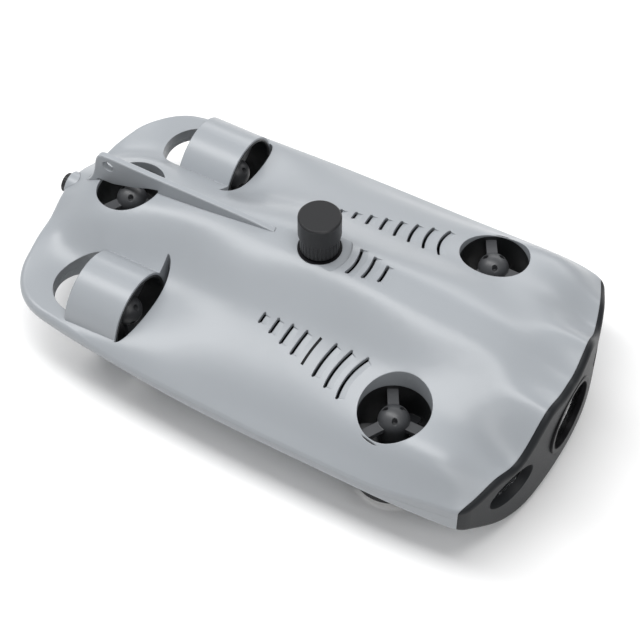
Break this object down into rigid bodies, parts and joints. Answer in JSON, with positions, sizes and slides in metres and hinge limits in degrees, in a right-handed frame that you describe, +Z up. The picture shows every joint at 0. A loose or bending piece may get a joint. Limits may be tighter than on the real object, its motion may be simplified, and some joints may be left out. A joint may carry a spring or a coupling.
{
  "type": "underwater inspection vehicle",
  "caption": "Compact remotely operated underwater vehicle: flat lobed hull with nose camera and lamps, lift tunnels, rear drive ducts, tail fin, port cap and tether port.",
  "frame": {"origin": "under the middle of the overall box, on the surface the feet rest on", "axes": "+Z up, nose towards -Y, port side +X"},
  "size_m": [0.226, 0.3854, 0.138],
  "materials": {
    "hull_grey": "satin",
    "bezel_grey": "satin",
    "cap_black": "matt",
    "trim_black": "gloss",
    "clear_window": "clear",
    "reflector": "polished",
    "lamp_chip": "gloss",
    "brass": "machined",
    "anodised": "black anodised",
    "tube": "anodised",
    "seal": "matt",
    "cells": "sleeved",
    "holder": "matt",
    "board": "solder mask",
    "steel": "brushed",
    "liner_black": "satin",
    "pod_grey": "satin",
    "propeller_black": "satin",
    "motor_metal": "potted"
  },
  "bodies": {
    "hull": {"ballast_bars": "steel", "battery_cells": "cells", "battery_holder": "holder", "board_sled": "holder", "board_standoffs": "brass", "camera_hood": "trim_black", "camera_lens": "clear_window", "camera_ring": "trim_black", "camera_window": "clear_window", "card_port_seat": "trim_black", "card_socket": "trim_black", "control_boards": "board", "depth_sensor": "steel", "feet": "seal", "front_end_cap": "anodised", "housing_seals": "seal", "lamp_leds": "lamp_chip", "lamp_reflectors": "reflector", "lamp_windows": "clear_window", "lower_shell": "hull_grey", "mount_insert": "brass", "nose_bezel": "bezel_grey", "port_drive_liner": "liner_black", "port_drive_motor": "motor_metal", "port_drive_pod": "pod_grey", "port_lift_liner": "liner_black", "port_lift_motor": "motor_metal", "port_lift_pod": "pod_grey", "pressure_tube": "tube", "rear_end_cap": "anodised", "shell_screws": "steel", "starboard_drive_liner": "liner_black", "starboard_drive_motor": "motor_metal", "starboard_drive_pod": "pod_grey", "starboard_lift_liner": "liner_black", "starboard_lift_motor": "motor_metal", "starboard_lift_pod": "pod_grey", "tail_fin": "hull_grey", "tail_lift_liner": "liner_black", "tail_lift_motor": "motor_metal", "tail_lift_pod": "pod_grey", "tether_contacts": "brass", "tether_insert": "trim_black", "tether_socket": "hull_grey", "upper_shell": "hull_grey"},
    "port_lift_propeller": {"port_lift_propeller": "propeller_black", "port_lift_shaft": "steel"},
    "starboard_lift_propeller": {"starboard_lift_propeller": "propeller_black", "starboard_lift_shaft": "steel"},
    "tail_lift_propeller": {"tail_lift_propeller": "propeller_black", "tail_lift_shaft": "steel"},
    "port_drive_propeller": {"port_drive_propeller": "propeller_black", "port_drive_shaft": "steel"},
    "starboard_drive_propeller": {"starboard_drive_propeller": "propeller_black", "starboard_drive_shaft": "steel"},
    "port_cap": {"card_port_cap": "cap_black"},
    "lock_ring": {"tether_ring": "cap_black"}
  },
  "joints": [
    {"name": "port_lift_spin", "type": "hinge", "parent": "hull", "child": "port_lift_propeller", "pos_m": [0.0702, -0.1019, 0.05], "axis": [0, 0, 1], "continuous": true},
    {"name": "starboard_lift_spin", "type": "hinge", "parent": "hull", "child": "starboard_lift_propeller", "pos_m": [-0.0702, -0.1019, 0.05], "axis": [0, 0, 1], "continuous": true},
    {"name": "tail_lift_spin", "type": "hinge", "parent": "hull", "child": "tail_lift_propeller", "pos_m": [0, 0.137, 0.05], "axis": [0, 0, 1], "continuous": true},
    {"name": "port_drive_spin", "type": "hinge", "parent": "hull", "child": "port_drive_propeller", "pos_m": [0.0696, 0.115, 0.053], "axis": [0, 1, 0], "continuous": true},
    {"name": "starboard_drive_spin", "type": "hinge", "parent": "hull", "child": "starboard_drive_propeller", "pos_m": [-0.0696, 0.115, 0.053], "axis": [0, 1, 0], "continuous": true},
    {"name": "port_cap_turn", "type": "hinge", "parent": "hull", "child": "port_cap", "pos_m": [0, -0.0093, 0.11], "axis": [0, 0, 1], "range_deg": [0, 720]},
    {"name": "lock_ring_turn", "type": "hinge", "parent": "hull", "child": "lock_ring", "pos_m": [0, 0.189, 0.0595], "axis": [0, 1, 0], "range_deg": [0, 90]}
  ]
}
